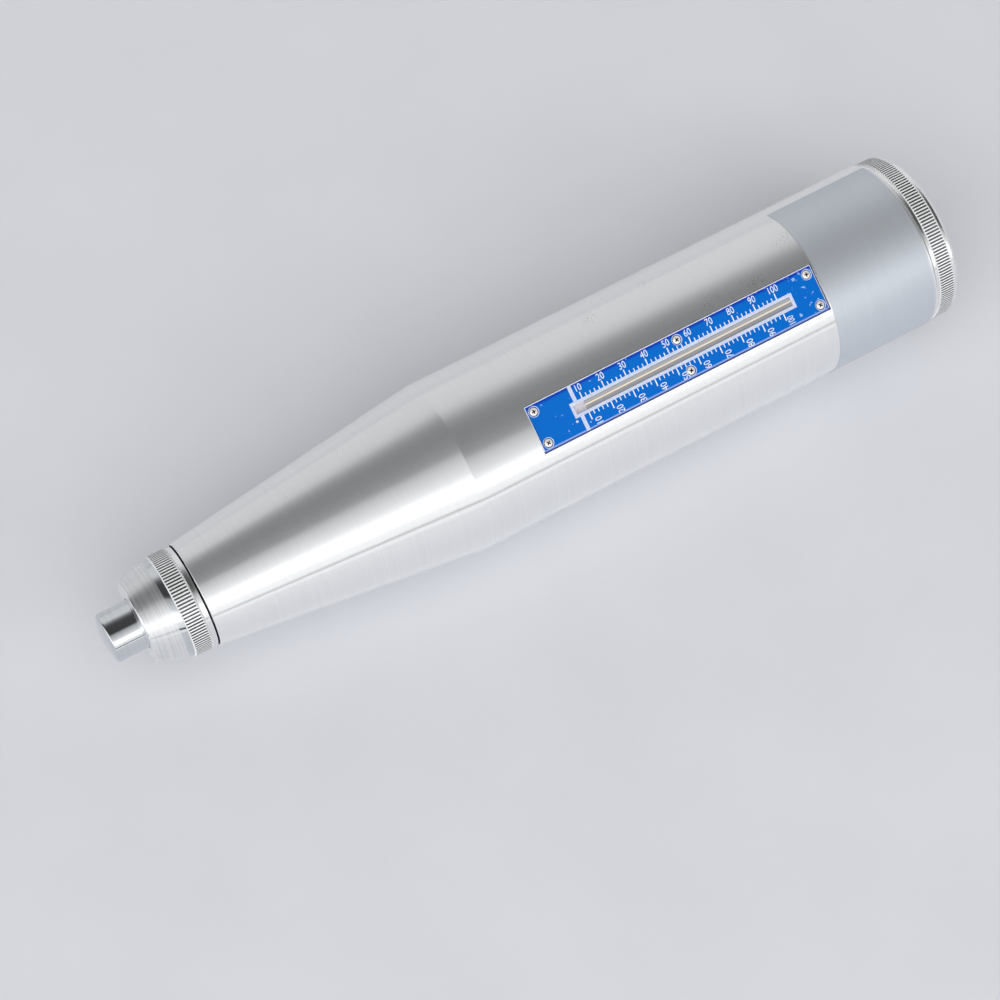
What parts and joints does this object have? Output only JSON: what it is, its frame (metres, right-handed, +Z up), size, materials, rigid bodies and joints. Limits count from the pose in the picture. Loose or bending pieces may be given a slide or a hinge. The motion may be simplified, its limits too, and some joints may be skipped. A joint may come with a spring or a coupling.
{
  "type": "concrete rebound hammer",
  "caption": "Barrel-shaped concrete rebound hammer: tapered metal housing, plunger in a knurled nose cap, blue scale with a sliding pointer, push button lock and knurled rear cap.",
  "frame": {"origin": "middle of the hammer's length, on the surface that it lies on, under the barrel's axis", "axes": "+X along the barrel from the plunger's tip to the rear cap, +Z up, scale facing up and 27.4 degrees towards -Y"},
  "size_m": [0.279, 0.0541, 0.0541],
  "materials": {
    "turned_aluminium": "satin, finely turned",
    "rear_aluminium": "satin, straight knurled rim",
    "knurled_steel": "bright nickel plated, straight knurl",
    "polished_steel": "polished, hardened",
    "machined_steel": "turned, lightly oiled",
    "hardened_steel": "dark, hardened and oiled",
    "spring_steel": "drawn wire, oiled",
    "felt": "dense grey felt",
    "blue_plastic": "blue coated plate with white print",
    "clear_window": "clear acrylic",
    "nickel_screws": "nickel plated, cross recess",
    "brass_rod": "drawn brass",
    "ivory_plastic": "pale moulded plastic",
    "red_paint": "red filled line",
    "label_film": "satin grey film, bare"
  },
  "bodies": {
    "housing": {"housing": "turned_aluminium", "nose_cap": "knurled_steel", "felt_seal": "felt", "retaining_ring": "spring_steel", "guide_sleeve": "machined_steel", "impact_spring": "spring_steel", "compression_spring": "spring_steel", "rear_cap": "rear_aluminium", "trip_screw": "hardened_steel", "lock_nut": "hardened_steel", "button_bush": "machined_steel", "button_spring": "spring_steel", "scale_plate": "blue_plastic", "window": "clear_window", "scale_screws": "nickel_screws", "pointer_rod": "brass_rod", "rod_supports": "brass_rod", "label": "label_film"},
    "carriage": {"carriage": "machined_steel", "guide_bar": "polished_steel", "carriage_pin": "spring_steel", "pawl_pin": "spring_steel", "pawl_spring": "spring_steel", "buffer_spring": "spring_steel"},
    "plunger": {"plunger": "polished_steel"},
    "hammer": {"hammer_mass": "machined_steel"},
    "pawl": {"pawl": "hardened_steel"},
    "pointer": {"pointer_rider": "ivory_plastic", "index_line": "red_paint", "pointer_leaf": "brass_rod"},
    "button": {"push_button": "polished_steel", "lock_pin": "hardened_steel"}
  },
  "joints": [
    {"name": "carriage_slide", "type": "slide", "parent": "housing", "child": "carriage", "axis": [1, 0, 0], "range_m": [-0.075, 0.003], "deforming": ["compression_spring"]},
    {"name": "plunger_cushion", "type": "slide", "parent": "carriage", "child": "plunger", "axis": [1, 0, 0], "range_m": [0, 0.0025], "stiffness_N_per_m": 2000, "springref_m": -0.001, "deforming": ["buffer_spring"]},
    {"name": "hammer_slide", "type": "slide", "parent": "housing", "child": "hammer", "axis": [1, 0, 0], "range_m": [0, 0.075], "stiffness_N_per_m": 785, "deforming": ["impact_spring"]},
    {"name": "pawl_swing", "type": "hinge", "parent": "carriage", "child": "pawl", "pos_m": [0.0948, 0.01491, 0.03473], "axis": [0, 0.4602, -0.8878], "range_deg": [0, 9], "stiffness_Nm_per_rad": 0.02, "springref_deg": -11.46, "deforming": ["pawl_spring"]},
    {"name": "pointer_slide", "type": "slide", "parent": "housing", "child": "pointer", "axis": [1, 0, 0], "range_m": [0, 0.0707]},
    {"name": "button_press", "type": "slide", "parent": "housing", "child": "button", "axis": [0, 0.4602, -0.8878], "range_m": [-0.002, 0], "stiffness_N_per_m": 800, "springref_m": 0.002, "deforming": ["button_spring"]}
  ]
}
